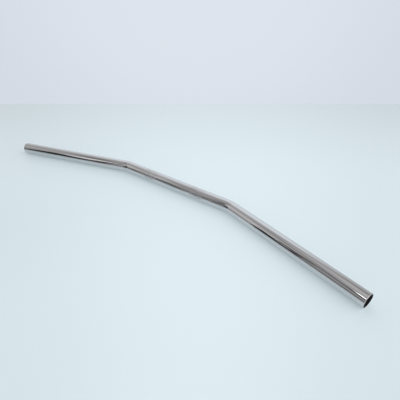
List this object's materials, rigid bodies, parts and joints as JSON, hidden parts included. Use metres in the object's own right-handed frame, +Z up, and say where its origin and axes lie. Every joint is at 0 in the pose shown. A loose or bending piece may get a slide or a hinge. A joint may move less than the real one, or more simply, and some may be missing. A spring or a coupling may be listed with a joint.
{
  "type": "motorcycle drag handlebar",
  "caption": "Low motorcycle drag handlebar: a chromed steel tube, straight across the clamps, with grips that sweep back, open ends and knurled clamp bands.",
  "frame": {"origin": "middle of the clamp section, on the tube's axis", "axes": "+X along the clamp section toward the rider's right grip, +Y forward, away from the rider, +Z up; the bar lies flat and the grips sweep back toward -Y"},
  "size_m": [0.7378, 0.0928, 0.0222],
  "materials": {
    "chrome": "bright chrome plating on polished steel tube"
  },
  "bodies": {
    "root": {"handlebar": "chrome"}
  },
  "joints": []
}
